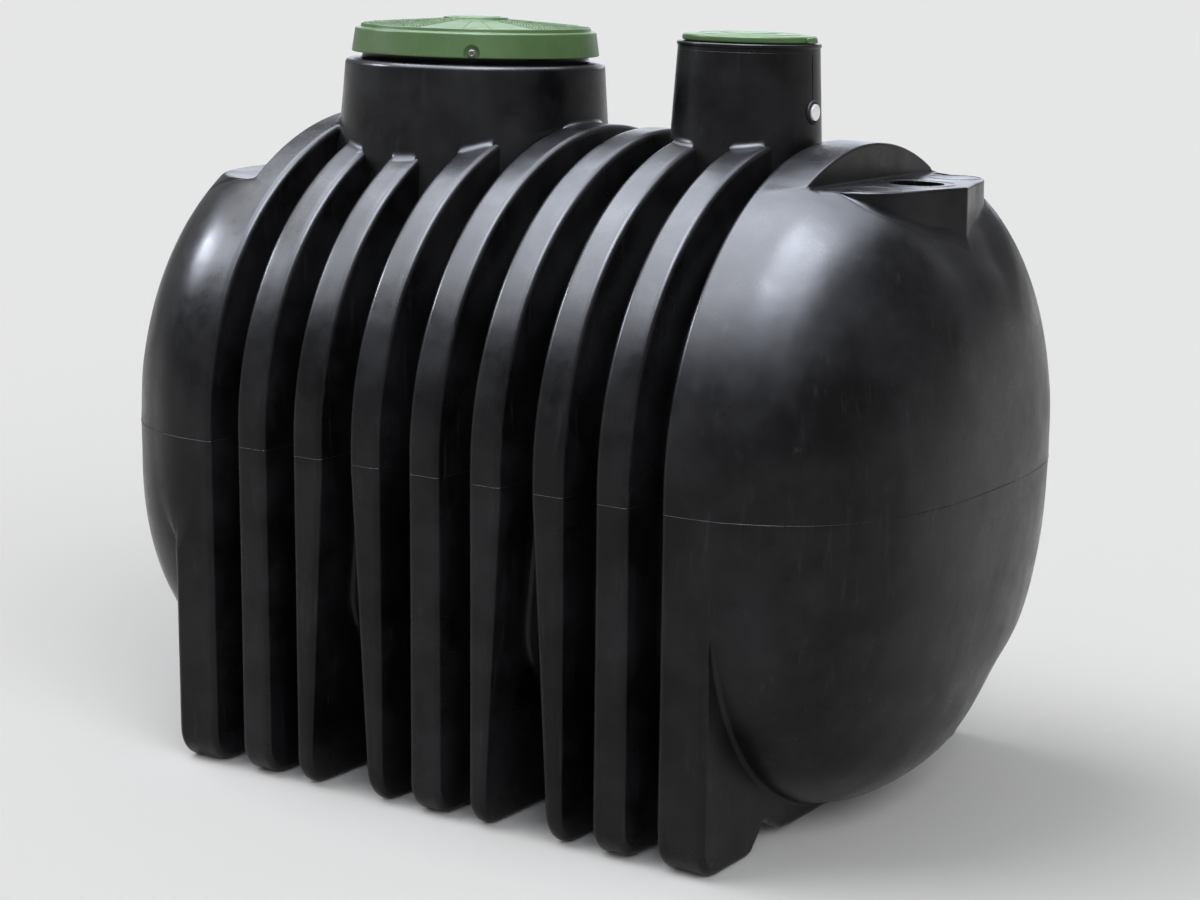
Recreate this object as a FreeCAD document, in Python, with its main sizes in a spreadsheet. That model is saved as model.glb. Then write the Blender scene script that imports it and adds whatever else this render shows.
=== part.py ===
import FreeCAD, Part
import math
import os
import Sketcher

# A buried rainwater tank. One ribbed, hollow plastic shell stands on moulded feet,
# with domed ends, a manhole neck under a green lid and a narrower filter neck.
# X runs along the tank, Y across it, Z up. The origin is on the ground under the middle.

doc = FreeCAD.newDocument("rainwater_tank")
sheet = doc.addObject("Spreadsheet::Sheet", "Sizes")

SIZES = [
    ("wall", 8, "wall of the moulded shell"),
    ("crest_radius", 630, "arch over a rib's crest"),
    ("arch_centre", 766, "height of the arch's centre"),
    ("leg_lean", 0.031, "lean of the legs below the arch, across per height"),
    ("rib_pitch", 148.3, "from rib to rib along the tank"),
    ("rib_width", 75.3, "width of a rib at its crest"),
    ("crest_round", 12, "rounding along a rib's edges"),
    ("valley_radius", 504, "arch over a valley, and half the width at its legs"),
    ("valley_corner", 160, "lower corner of a valley"),
    ("valley_belly", 640, "round belly of a valley"),
    ("valley_clear", 120, "belly of a valley above the ground"),
    ("foot_round", 65, "outer lower corner of a foot"),
    ("rib_foot", 335, "inner edge of a rib's foot on the ground"),
    ("end_foot", 410, "inner edge of an end ring's foot on the ground"),
    ("foot_slope", 24, "run of a foot's inner side"),
    ("notch_height", 52, "height of the underside beside a foot"),
    ("keel_height", 16, "keel under an end ring above the ground"),
    ("keel_start", 345, "outer end of the keel's slope beside the notch"),
    ("keel_half", 265, "half width of the keel under an end ring"),
    ("channel_top", 710, "height where the lifting channels begin to widen"),
    ("channel_reach", 40, "how far a lifting channel widens into each rib at the ground"),
    ("slab_inner", 555.5, "inner face of an end ring"),
    ("end_face", 662, "outer face of an end ring"),
    ("dome_step", 12, "edge of an end dome inside the end ring's crest"),
    ("dome_depth", 305, "end dome beyond the end ring"),
    ("dome_lift", 9, "arch's centre at the dome's edge above that of the ribs"),
    ("tip_lift", 44, "tip of an end dome above the centre of the ribs' arch"),
    ("dome_flank", 38, "end dome's side beyond the centre of its lower corner"),
    ("dome_belly", 1600, "round belly of the end dome"),
    ("dome_clear", 30, "end dome above the ground"),
    ("shelf_sink", 71.5, "top of the inlet shelf below the end dome's crown"),
    ("shelf_drop", 190, "walls of the inlet shelf, before they are cut to the dome"),
    ("shelf_inset", 7, "inlet shelf's back corners inside the end dome"),
    ("shelf_side", 142, "inlet shelf's side corner beyond the end ring"),
    ("shelf_front", 247, "half width of the inlet shelf at its side corners"),
    ("shelf_prow", 209, "inlet shelf's front corner beyond the end ring"),
    ("inlet_reach", 98.5, "inlet hole beyond the end ring"),
    ("inlet_radius", 55, "inlet hole for a drain pipe"),
    ("rear_sink", 141, "flat on the rear dome below the top of the ribs"),
    ("rear_step", 32, "rear end ring's face above that flat, inside its outer face"),
    ("rear_round", 22, "rounding along the top of that face"),
    ("manhole_place", 323, "manhole axis behind the middle"),
    ("manhole_rise", 122.5, "manhole neck's shoulder above the top of the ribs"),
    ("manhole_radius", 286, "manhole neck at its shoulder"),
    ("manhole_flare", 0.077, "widening of the manhole neck per height"),
    ("manhole_depth", 410, "manhole neck before it is cut to the shell"),
    ("shoulder_round", 12, "rounding of the manhole neck's shoulder"),
    ("collar_radius", 249, "collar inside the manhole lid"),
    ("collar_rise", 60, "collar above the shoulder"),
    ("filter_place", 364.5, "filter neck axis before the middle"),
    ("filter_rise", 190.5, "filter neck's rim above the top of the ribs"),
    ("filter_radius", 147, "filter neck at its rim"),
    ("filter_flare", 0.055, "widening of the filter neck per height"),
    ("filter_depth", 410, "filter neck before it is cut to the shell"),
    ("filter_mouth", 126, "mouth inside the filter neck's rim"),
    ("lip_height", 8, "lip round the filter neck's rim"),
    ("lip_reach", 2.5, "lip beyond the filter neck's side"),
    ("lid_wall", 5, "wall of the lids"),
    ("lid_gap", 14.5, "gap between shoulder and lid"),
    ("lid_radius", 273, "manhole lid at its lower edge"),
    ("lid_taper", 7, "manhole lid's skirt drawn in at its top"),
    ("lid_skirt", 52, "height of the manhole lid's skirt"),
    ("lid_ledge", 12, "ledge round the manhole lid's raised panel"),
    ("lid_step", 9, "height of the raised panel's edge"),
    ("lid_rise", 16, "rise of the panel to its hub"),
    ("hub_radius", 72, "hub of the manhole lid"),
    ("hub_rise", 4, "hub above the panel"),
    ("screw_turn", 57, "angle of the front lid screw"),
    ("screw_count", 3, "lid screws"),
    ("screw_height", 10, "lid screws above the lid's lower edge"),
    ("screw_radius", 4, "shank of a lid screw"),
    ("screw_head", 8, "head radius of a lid screw"),
    ("screw_head_length", 6, "head length of a lid screw"),
    ("recess_radius", 18, "recess round a lid screw"),
    ("recess_depth", 8, "depth of that recess"),
    ("boss_width", 48, "boss behind that recess"),
    ("boss_height", 36, "height of that boss"),
    ("filter_lid_radius", 139, "filter lid"),
    ("filter_lid_edge", 15, "thickness of the filter lid's edge"),
    ("filter_lid_rise", 7, "rise of the filter lid to its middle"),
    ("filter_plug_gap", 3, "gap between the filter lid's plug and the mouth"),
    ("filter_plug_drop", 25, "depth of that plug"),
    ("port_drop", 137, "side port below the filter neck's rim"),
    ("port_flange", 25, "grommet flange in the side port"),
    ("port_hole", 20.5, "hole through the neck for the grommet"),
    ("port_plug", 17.5, "plug in the grommet"),
    ("port_seat", 2, "flat spot cut into the neck for the grommet"),
    ("grommet_face", 6, "grommet flange thickness"),
    ("plug_face", 4, "plug beyond the grommet"),
]


class Size:
    """A number together with the sheet expression that gives it."""

    def __init__(self, value, text):
        self.value = value
        self.text = text

    def __add__(self, other):
        other = size(other)
        return Size(self.value + other.value, f"({self.text} + {other.text})")

    def __sub__(self, other):
        other = size(other)
        return Size(self.value - other.value, f"({self.text} - {other.text})")

    def __mul__(self, other):
        other = size(other)
        return Size(self.value * other.value, f"({self.text} * {other.text})")

    def __truediv__(self, other):
        other = size(other)
        return Size(self.value / other.value, f"({self.text} / {other.text})")

    def __neg__(self):
        return Size(-self.value, f"(0 - {self.text})")


def size(value):
    return value if isinstance(value, Size) else Size(float(value), repr(float(value)))


def root(value):
    return Size(math.sqrt(value.value), f"sqrt({value.text})")


for row, (name, number, note) in enumerate(SIZES, 1):
    sheet.set(f"A{row}", note)
    sheet.set(f"B{row}", str(number))
    sheet.setAlias(f"B{row}", name)
doc.recompute()
S = {name: Size(float(number), f"Sizes.{name}") for name, number, note in SIZES}
ZERO = size(0)
WALL = S["wall"]


# Sketching. A loop is a list of corners drawn anticlockwise. A corner is (across, up),
# or (across, up, centre across, centre up) where an arc leads to it.
def draw(sketch, corners):
    first = sketch.GeometryCount
    for index, corner in enumerate(corners):
        before = corners[index - 1]
        start = FreeCAD.Vector(before[0].value, before[1].value)
        stop = FreeCAD.Vector(corner[0].value, corner[1].value)
        if len(corner) == 2:
            sketch.addGeometry(Part.LineSegment(start, stop), False)
            continue
        centre = FreeCAD.Vector(corner[2].value, corner[3].value)
        circle = Part.Circle(centre, FreeCAD.Vector(0, 0, 1), (start - centre).Length)
        a = math.atan2(start.y - centre.y, start.x - centre.x)
        b = math.atan2(stop.y - centre.y, stop.x - centre.x)
        sketch.addGeometry(Part.ArcOfCircle(circle, a, b if b > a else b + 2 * math.pi), False)
    for index, corner in enumerate(corners):
        here = first + index
        after = first + (index + 1) % len(corners)
        join = Sketcher.Constraint("Coincident", here, 2, after, 1)
        sketch.addConstraint(join)
        bind(sketch, "DistanceX", here, 2, corner[0])
        bind(sketch, "DistanceY", here, 2, corner[1])
        if len(corner) == 4:
            before = corners[index - 1]
            level = abs(corner[0].value - before[0].value) > abs(corner[1].value - before[1].value)
            bind(sketch, "DistanceY" if level else "DistanceX", here, 3, corner[3 if level else 2])


def bind(sketch, kind, geometry, point, value):
    index = sketch.addConstraint(Sketcher.Constraint(kind, -1, 1, geometry, point, value.value))
    sketch.setExpression(f"Constraints[{index}]", value.text)


def new_body(name):
    return doc.addObject("PartDesign::Body", name)


def origin_of(body, role):
    return [item for item in body.Origin.OriginFeatures if item.Role == role][0]


def new_sketch(body, plane, offset, loops):
    sketch = body.newObject("Sketcher::SketchObject", body.Name + "_sketch")
    sketch.AttachmentSupport = (origin_of(body, plane), [""])
    sketch.MapMode = "FlatFace"
    sketch.setExpression("AttachmentOffset.Base.z", offset.text)
    for corners in loops:
        draw(sketch, corners)
    return sketch


def add_pad(body, plane, offset, length, loops):
    pad = body.newObject("PartDesign::Pad", body.Name + "_pad")
    pad.Profile = new_sketch(body, plane, offset, loops)
    pad.setExpression("Length", length.text)
    return pad


def add_revolution(body, corners, axis="V_Axis"):
    turned = body.newObject("PartDesign::Revolution", body.Name + "_turned")
    turned.Profile = new_sketch(body, "XZ_Plane", ZERO, [corners])
    turned.ReferenceAxis = (turned.Profile[0], [axis])
    turned.Angle = 360
    return turned


def add_loft(body, offsets, loops):
    sketches = [new_sketch(body, "YZ_Plane", offset, [loop]) for offset, loop in zip(offsets, loops)]
    loft = body.newObject("PartDesign::AdditiveLoft", body.Name + "_loft")
    loft.Profile = sketches[0]
    loft.Sections = sketches[1:]
    return loft


def cut(name, base, tool):
    result = doc.addObject("Part::Cut", name)
    result.Base = base
    result.Tool = tool
    result.Refine = True
    return result


def fuse(name, base, tool):
    result = doc.addObject("Part::Fuse", name)
    result.Base = base
    result.Tool = tool
    result.Refine = True
    return result


def common(name, base, tool):
    result = doc.addObject("Part::Common", name)
    result.Base = base
    result.Tool = tool
    return result


def new_box(name, low, high):
    box = doc.addObject("Part::Box", name)
    for side, axis, start, stop in zip(["Length", "Width", "Height"], "xyz", low, high):
        place(box, axis, start)
        box.setExpression(side, (stop - start).text)
    return box


def mirrored(name, source):
    result = doc.addObject("Part::Mirroring", name)
    result.Source = source
    result.Normal = (1, 0, 0)
    return result


def place(thing, axis, value):
    thing.setExpression(f"Placement.Base.{axis}", value.text)


def circle_loop(radius, up):
    return [(radius, up, ZERO, up), (-radius, up, ZERO, up)]


# Cross sections of the shell, all moved inwards by the same inset.
ARCH = S["arch_centre"]
RIB_TOP = ARCH + S["crest_radius"]
DOME_HALF = S["crest_radius"] - S["dome_step"]
DOME_ARCH = ARCH + S["dome_lift"]
DOME_TIP = ARCH + S["tip_lift"]
DOME_CORNER = DOME_HALF - S["dome_flank"]
SHELF_OVER = DOME_HALF - S["shelf_sink"]
SHELF_TOP = DOME_ARCH + SHELF_OVER
SHELF_BACK = root(DOME_HALF * DOME_HALF - SHELF_OVER * SHELF_OVER) - S["shelf_inset"]
REAR_TOP = RIB_TOP - S["rear_sink"]
REAR_FACE = S["end_face"] - S["rear_step"]
SHOULDER = RIB_TOP + S["manhole_rise"]
RIM = RIB_TOP + S["filter_rise"]
LID_TOP = S["lid_radius"] - S["lid_taper"]
LID_PANEL = LID_TOP - S["lid_ledge"]


def oval(half, corner, belly, low, arch, inset):
    """Arch, straight legs, lower corners and round belly."""
    middle = low + belly
    reach = belly - corner
    fall = root(reach * reach - (half - corner) * (half - corner))
    share = (belly - inset) / reach
    side = half - inset
    turn = middle - fall
    low_across = (half - corner) * share
    low_up = middle - fall * share
    return [
        (low_across, low_up, ZERO, middle),
        (side, turn, half - corner, turn),
        (side, arch),
        (-side, arch, ZERO, arch),
        (-side, turn),
        (-low_across, low_up, corner - half, turn),
    ]


def valley_section(inset):
    return oval(
        S["valley_radius"], S["valley_corner"], S["valley_belly"], S["valley_clear"], ARCH, inset
    )


# The end ring takes the first part of the dome's curve, so the dome leaves it with a
# slight slope. The belly stays low for longer than the sides draw in.
DOME_STATIONS = [0, 0.12, 0.28, 0.45, 0.61, 0.75, 0.86, 0.94, 0.985, 0.998]
DOME_LEAD = 0.25


def dome_share(station, fullness):
    reach = DOME_LEAD + (1 - DOME_LEAD) * station
    return size(((1 - reach**fullness) / (1 - DOME_LEAD**fullness)) ** (1 / fullness))


def dome_section(inset, station=0):
    share = dome_share(station, 2.62)
    tip = DOME_TIP
    low = tip - (tip - S["dome_clear"]) * dome_share(station, 2.88)
    arch = tip + (DOME_ARCH - tip) * share
    return oval(
        DOME_HALF * share, DOME_CORNER * share, S["dome_belly"] * share, low, arch, inset
    )


LEAN_COS = size(1) / root(S["leg_lean"] * S["leg_lean"] + 1)
LEAN_SIN = S["leg_lean"] * LEAN_COS


def crest_section(inset, under):
    """Arch and leaning legs, closed by the right half of an underside and its mirror image."""
    arch = S["crest_radius"] - inset
    toe = S["foot_round"] - inset
    heel = (S["crest_radius"] - S["foot_round"] - (ARCH - S["foot_round"]) * LEAN_SIN) / LEAN_COS
    right = [
        (heel + toe * LEAN_COS, S["foot_round"] - toe * LEAN_SIN, heel, S["foot_round"]),
        (arch * LEAN_COS, ARCH - arch * LEAN_SIN),
    ]
    left = [
        (-arch * LEAN_COS, ARCH - arch * LEAN_SIN, ZERO, ARCH),
        (-heel - toe * LEAN_COS, S["foot_round"] - toe * LEAN_SIN),
        (-heel, inset, -heel, S["foot_round"]),
    ]
    return right + left + [(-across, up) for across, up in under] + under[::-1] + [(heel, inset)]


def rib_section(inset):
    """A rib's long feet, with a raised underside between them."""
    foot = S["rib_foot"] + inset
    return crest_section(inset, [(foot, inset), (foot - S["foot_slope"], S["notch_height"] + inset)])


def end_section(inset):
    """An end ring's short feet, with a notch beside each and the keel between them."""
    under = [
        (S["end_foot"] + inset, inset),
        (S["end_foot"] + inset - S["foot_slope"], S["notch_height"] + inset),
        (S["keel_start"], S["notch_height"] + inset),
        (S["keel_half"], S["keel_height"] + inset),
    ]
    return crest_section(inset, under)


def end_opening():
    """The dome's inside at the end ring, closed above the inlet shelf."""
    corners = dome_section(WALL)
    side = DOME_HALF - WALL
    arch = DOME_ARCH
    chord_up = SHELF_TOP - WALL
    half = root(side * side - (chord_up - arch) * (chord_up - arch))
    chord = [(half, chord_up, ZERO, arch), (-half, chord_up), (-side, arch, ZERO, arch)]
    return corners[:3] + chord + corners[4:]


def round_crest(body, pad, faces):
    """Round a rib's outer edges in the planes of the named faces."""
    doc.recompute()
    found = []
    for index, edge in enumerate(pad.Shape.Edges, 1):
        curve = edge.Curve
        if not isinstance(curve, Part.Circle) or abs(curve.Radius - S["crest_radius"].value) > 0.01:
            continue
        if any(abs(edge.CenterOfMass.x - face.value) < 0.01 for face in faces):
            found.append(f"Edge{index}")
    fillet = body.newObject("PartDesign::Fillet", body.Name + "_round")
    fillet.Base = (pad, found)
    fillet.setExpression("Radius", S["crest_round"].text)
    return fillet


# Ribs. Each is a channel bent round the tank, open to the inside.
RIB_COUNT = 7
rib_ends = []
for index in range(RIB_COUNT):
    middle = S["rib_pitch"] * (index - (RIB_COUNT - 1) / 2)
    rib_ends.append((middle - S["rib_width"] / 2, middle + S["rib_width"] / 2))


def plain_rib(name, start, stop):
    rib = new_body(name)
    add_pad(rib, "YZ_Plane", start, WALL, [rib_section(ZERO), valley_section(WALL)])
    add_pad(rib, "YZ_Plane", stop - WALL, WALL, [rib_section(ZERO), valley_section(WALL)])
    crest = add_pad(rib, "YZ_Plane", start, stop - start, [rib_section(ZERO), rib_section(WALL)])
    round_crest(rib, crest, [start, stop])
    return rib


def channel_wedge(name, face, reach, clear):
    """The wedge by which a lifting channel widens into a rib from its side face."""
    wedge = new_body(name)
    floor = -S["channel_reach"]
    slope = reach / S["channel_top"]
    shift = root(slope * slope + 1) * clear
    pad = add_pad(
        wedge,
        "XZ_Plane",
        ZERO,
        S["crest_radius"] * 3,
        [
            [
                (face + reach - slope * floor + shift, floor),
                (face - slope * S["channel_top"] + shift, S["channel_top"] * 2),
                (face - reach * 5, S["channel_top"] * 2),
                (face - reach * 5, floor),
            ]
        ],
    )
    pad.Midplane = True
    return wedge


def channel_rib(name, start, stop, face, reach):
    """A rib whose legs give way on one side to a lifting channel."""
    outside = new_body(name + "_outside")
    crest = add_pad(outside, "YZ_Plane", start, stop - start, [rib_section(ZERO)])
    round_crest(outside, crest, [start, stop])
    hull = new_body(name + "_hull")
    add_pad(hull, "YZ_Plane", start, stop - start, [valley_section(ZERO), valley_section(WALL)])
    space = new_body(name + "_space")
    add_pad(space, "YZ_Plane", start + WALL, stop - start - WALL * 2, [rib_section(WALL)])
    through = new_body(name + "_through")
    add_pad(through, "YZ_Plane", start, stop - start, [valley_section(WALL)])
    inward = WALL if reach.value > 0 else -WALL
    outer_wedge = channel_wedge(name + "_wedge", face, reach, ZERO)
    inner_wedge = channel_wedge(name + "_wedge_inner", face, reach, inward)
    shaped = fuse(name + "_shaped", cut(name + "_narrowed", outside, outer_wedge), hull)
    hollow = cut(name + "_hollow", shaped, cut(name + "_room", space, inner_wedge))
    return cut(name, hollow, through)


ribs = [None] * RIB_COUNT
for index in [0, 3, 6]:
    ribs[index] = plain_rib(f"rib_{index + 1}_blank", *rib_ends[index])
reach = S["channel_reach"]
ribs[1] = channel_rib("rib_2_blank", *rib_ends[1], rib_ends[1][1], -reach)
ribs[2] = channel_rib("rib_3_blank", *rib_ends[2], rib_ends[2][0], reach)
ribs[4] = mirrored("rib_5_blank", ribs[2])
ribs[5] = mirrored("rib_6_blank", ribs[1])

# Valleys, from one rib's side to the next, and from the outer ribs to the end rings.
valley_starts = [-S["slab_inner"]] + [stop for start, stop in rib_ends]
valley_stops = [start for start, stop in rib_ends] + [S["slab_inner"]]
valleys = []
for index, (start, stop) in enumerate(zip(valley_starts, valley_stops)):
    valley = new_body(f"valley_{index + 1}_blank")
    add_pad(valley, "YZ_Plane", start, stop - start, [valley_section(ZERO), valley_section(WALL)])
    valleys.append(valley)

# End ring: a wider rib whose outer face is closed down to the dome.
end_ring = new_body("end_ring_blank")
ring_length = S["end_face"] - S["slab_inner"]
add_pad(end_ring, "YZ_Plane", S["slab_inner"], WALL, [end_section(ZERO), valley_section(WALL)])
add_pad(end_ring, "YZ_Plane", S["end_face"] - WALL, WALL, [end_section(ZERO), end_opening()])
ring_loops = [end_section(ZERO), end_section(WALL)]
ring_crest = add_pad(end_ring, "YZ_Plane", S["slab_inner"], ring_length, ring_loops)
round_crest(end_ring, ring_crest, [S["slab_inner"], S["end_face"]])

# End dome, lofted through sections that shrink towards its tip.
def dome(name, inset):
    body = new_body(name)
    depth = S["dome_depth"] - inset
    offsets = [S["end_face"] + depth * station for station in DOME_STATIONS]
    add_loft(body, offsets, [dome_section(inset, station) for station in DOME_STATIONS])
    return body


dome_outside = dome("dome_outside", ZERO)
dome_inside = dome("dome_inside", WALL)
dome_shell = cut("dome_shell", dome_outside, dome_inside)


# Shelf on the near dome: a flat top with a prow, for the inlet pipe.
def shelf_outline(inset):
    back = S["end_face"]
    return [
        (back - inset, -(SHELF_BACK - inset)),
        (back + S["shelf_side"] - inset, -(S["shelf_front"] - inset)),
        (back + S["shelf_prow"] - inset, ZERO),
        (back + S["shelf_side"] - inset, S["shelf_front"] - inset),
        (back - inset, SHELF_BACK - inset),
    ]


shelf_low = SHELF_TOP - S["shelf_drop"]
shelf_under = SHELF_TOP - WALL
shelf_space = new_body("shelf_space")
add_pad(shelf_space, "XY_Plane", shelf_low, S["shelf_drop"] * 2, [shelf_outline(ZERO)])
shelf_hollow = new_body("shelf_hollow")
add_pad(shelf_hollow, "XY_Plane", shelf_low, S["shelf_drop"], [shelf_outline(WALL)])
shelf_top = new_body("shelf_top")
add_pad(shelf_top, "XY_Plane", shelf_under, WALL, [shelf_outline(ZERO)])
shelf_block = new_body("shelf_block")
add_pad(shelf_block, "XY_Plane", shelf_low, S["shelf_drop"] - WALL, [shelf_outline(ZERO)])
shelf_walls = cut("shelf_walls", cut("shelf_frame", shelf_block, shelf_hollow), dome_inside)
shelf = fuse("shelf_blank", shelf_top, shelf_walls)
near_dome = cut("near_dome_blank", dome_shell, shelf_space)

inlet_hole = doc.addObject("Part::Cylinder", "inlet_hole")
inlet_hole.setExpression("Radius", S["inlet_radius"].text)
inlet_hole.setExpression("Height", (WALL * 3).text)
place(inlet_hole, "x", S["end_face"] + S["inlet_reach"])
place(inlet_hole, "z", SHELF_TOP - WALL * 2)

# Flat on the rear dome. It cuts into the dome and into the top of the rear end ring,
# which is closed above it by a wall with a rounded upper edge.
rear_under = REAR_TOP - WALL
rear_far = S["end_face"] + S["dome_depth"] * 2
rear_wide = S["crest_radius"] * 2
rear_high = ARCH + S["crest_radius"] * 2
rear_block = new_box(
    "rear_block", [-rear_far, -rear_wide, rear_under], [-S["slab_inner"], rear_wide, rear_high]
)
rear_turned = new_body("rear_turned")
rear_corner = REAR_FACE - S["rear_round"]
rear_inner = S["crest_radius"] - S["rear_round"]
add_revolution(
    rear_turned,
    [
        (-rear_corner, S["crest_radius"]),
        (-REAR_FACE, rear_inner, -rear_corner, rear_inner),
        (-REAR_FACE, S["valley_radius"] / 2),
        (-rear_far, S["valley_radius"] / 2),
        (-rear_far, rear_wide),
        (-rear_corner, rear_wide),
    ],
    "H_Axis",
)
place(rear_turned, "z", ARCH)
rear_space = common("rear_space", rear_block, rear_turned)

ring_block = new_body("ring_block")
add_pad(ring_block, "YZ_Plane", S["slab_inner"], ring_length, [end_section(ZERO)])
rear_ring_block = mirrored("rear_ring_block", ring_block)
rear_slice = new_box(
    "rear_slice", [-REAR_FACE, -rear_wide, rear_under], [-REAR_FACE + WALL, rear_wide, rear_high]
)
rear_wall = common("rear_wall_plate", rear_ring_block, rear_slice)
rear_walled = fuse("rear_ring_walled", mirrored("rear_ring_plain", end_ring), rear_wall)
rear_ring = cut("rear_ring_blank", rear_walled, rear_space)

rear_outside = fuse("rear_outside", mirrored("rear_dome_outside", dome_outside), rear_ring_block)
rear_plate = new_box(
    "rear_plate", [-rear_far, -rear_wide, rear_under], [-REAR_FACE, rear_wide, REAR_TOP]
)
rear_shelf = common("rear_shelf", rear_outside, rear_plate)
rear_dome = cut("rear_dome_blank", mirrored("rear_dome_shell", dome_shell), rear_space)

# Necks. The shell is cut to their outsides, and they are cut to the shell's inside.
barrel = doc.addObject("Part::Cylinder", "barrel_space")
barrel.setExpression("Radius", (S["valley_radius"] - WALL).text)
barrel.setExpression("Height", (S["end_face"] * 2).text)
barrel.Placement.Rotation = FreeCAD.Rotation(FreeCAD.Vector(0, 1, 0), 90)
place(barrel, "x", -S["end_face"])
place(barrel, "z", ARCH)


def neck_space(name, along, top, radius, flare, depth):
    cone = doc.addObject("Part::Cone", name)
    cone.setExpression("Radius1", (radius + flare * depth).text)
    cone.setExpression("Radius2", radius.text)
    cone.setExpression("Height", depth.text)
    place(cone, "x", along)
    place(cone, "z", top - depth)
    return cone


manhole_space = neck_space(
    "manhole_space",
    -S["manhole_place"],
    SHOULDER,
    S["manhole_radius"],
    S["manhole_flare"],
    S["manhole_depth"],
)
filter_space = neck_space(
    "filter_space",
    S["filter_place"],
    RIM,
    S["filter_radius"],
    S["filter_flare"],
    S["filter_depth"],
)

shoulder = SHOULDER
manhole_base = S["manhole_radius"] + S["manhole_flare"] * S["manhole_depth"]
collar_top = shoulder + S["collar_rise"]
soft = S["shoulder_round"]
manhole_body = new_body("manhole_neck_blank")
add_revolution(
    manhole_body,
    [
        (manhole_base, shoulder - S["manhole_depth"]),
        (S["manhole_radius"], shoulder - soft),
        (S["manhole_radius"] - soft, shoulder, S["manhole_radius"] - soft, shoulder - soft),
        (S["collar_radius"], shoulder),
        (S["collar_radius"], collar_top),
        (S["collar_radius"] - WALL, collar_top),
        (S["collar_radius"] - WALL, shoulder - WALL),
        (S["manhole_radius"] - WALL, shoulder - WALL),
        (manhole_base - WALL, shoulder - S["manhole_depth"]),
    ],
)
place(manhole_body, "x", -S["manhole_place"])

rim = RIM
filter_base = S["filter_radius"] + S["filter_flare"] * S["filter_depth"]
lip_under = rim - S["lip_height"]
filter_body = new_body("filter_neck_blank")
add_revolution(
    filter_body,
    [
        (filter_base, rim - S["filter_depth"]),
        (S["filter_radius"] + S["filter_flare"] * S["lip_height"], lip_under),
        (S["filter_radius"] + S["lip_reach"], lip_under),
        (S["filter_radius"] + S["lip_reach"], rim),
        (S["filter_mouth"], rim),
        (S["filter_mouth"], lip_under),
        (S["filter_radius"] - WALL, lip_under),
        (filter_base - WALL, rim - S["filter_depth"]),
    ],
)
place(filter_body, "x", S["filter_place"])

# Side port of the filter neck: a grommet in a hole, with a plug in it.
port_height = rim - S["port_drop"]
port_face = S["filter_radius"] + S["filter_flare"] * S["port_drop"] - S["port_seat"]
port_inner = port_face - WALL * 2
port_end = port_face + S["grommet_face"]


def disc(body, start, stop, *radii):
    loops = [circle_loop(radius, port_height) for radius in radii]
    add_pad(body, "YZ_Plane", S["filter_place"] + start, stop - start, loops)


port_space = new_body("port_space")
disc(port_space, port_face, port_end + WALL, S["port_flange"])
disc(port_space, port_inner, port_face, S["port_hole"])

grommet = new_body("port_grommet")
disc(grommet, port_face, port_end, S["port_flange"], S["port_plug"])
disc(grommet, port_inner, port_face, S["port_hole"], S["port_plug"])

plug = new_body("port_plug")
disc(plug, port_inner, port_end + S["plug_face"], S["port_plug"])

# Manhole lid, on the collar's top, with a recess round each screw.
lid_low = shoulder + S["lid_gap"]
skirt_top = lid_low + S["lid_skirt"]
panel_edge = skirt_top + S["lid_step"]
panel_top = panel_edge + S["lid_rise"]
hub_top = panel_top + S["hub_rise"]
lid_wall = S["lid_wall"]
manhole_lid = new_body("manhole_lid")
manhole_lid.Placement.Rotation = FreeCAD.Rotation(FreeCAD.Vector(0, 0, -1), S["screw_turn"].value)
manhole_lid.setExpression("Placement.Rotation.Angle", S["screw_turn"].text)
place(manhole_lid, "x", -S["manhole_place"])
lid_turned = add_revolution(
    manhole_lid,
    [
        (ZERO, panel_top - lid_wall),
        (S["hub_radius"], panel_top - lid_wall),
        (LID_PANEL - lid_wall * 3, panel_edge - lid_wall),
        (LID_PANEL - lid_wall * 3, collar_top),
        (LID_TOP - lid_wall, collar_top),
        (S["lid_radius"] - lid_wall, lid_low),
        (S["lid_radius"], lid_low),
        (LID_TOP, skirt_top),
        (LID_PANEL, skirt_top),
        (LID_PANEL, panel_edge),
        (S["hub_radius"], panel_top),
        (S["hub_radius"], hub_top),
        (ZERO, hub_top),
    ],
)


def screw_pattern(body, features):
    pattern = body.newObject("PartDesign::PolarPattern", body.Name + "_pattern")
    pattern.Originals = features
    pattern.Axis = (origin_of(body, "Z_Axis"), [""])
    pattern.Angle = 360
    pattern.setExpression("Occurrences", S["screw_count"].text)
    body.Tip = pattern
    return pattern


screw_up = lid_low + S["screw_height"]
recess_face = S["lid_radius"] - S["recess_depth"]
boss_half = S["boss_width"] / 2
boss = add_pad(
    manhole_lid,
    "YZ_Plane",
    recess_face - lid_wall,
    lid_wall + S["recess_depth"] / 2,
    [
        [
            (-boss_half, lid_low),
            (boss_half, lid_low),
            (boss_half, lid_low + S["boss_height"]),
            (-boss_half, lid_low + S["boss_height"]),
        ]
    ],
)
recess = manhole_lid.newObject("PartDesign::Pocket", "manhole_lid_recess")
recess.Profile = new_sketch(
    manhole_lid, "YZ_Plane", recess_face, [circle_loop(S["recess_radius"], screw_up)]
)
recess.Reversed = True
recess.setExpression("Length", (S["recess_depth"] * 2).text)
shank_hole = manhole_lid.newObject("PartDesign::Pocket", "manhole_lid_hole")
shank_hole.Profile = new_sketch(
    manhole_lid, "YZ_Plane", S["collar_radius"], [circle_loop(S["screw_radius"], screw_up)]
)
shank_hole.Reversed = True
shank_hole.setExpression("Length", (recess_face - S["collar_radius"]).text)
screw_pattern(manhole_lid, [boss, recess, shank_hole])

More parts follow.
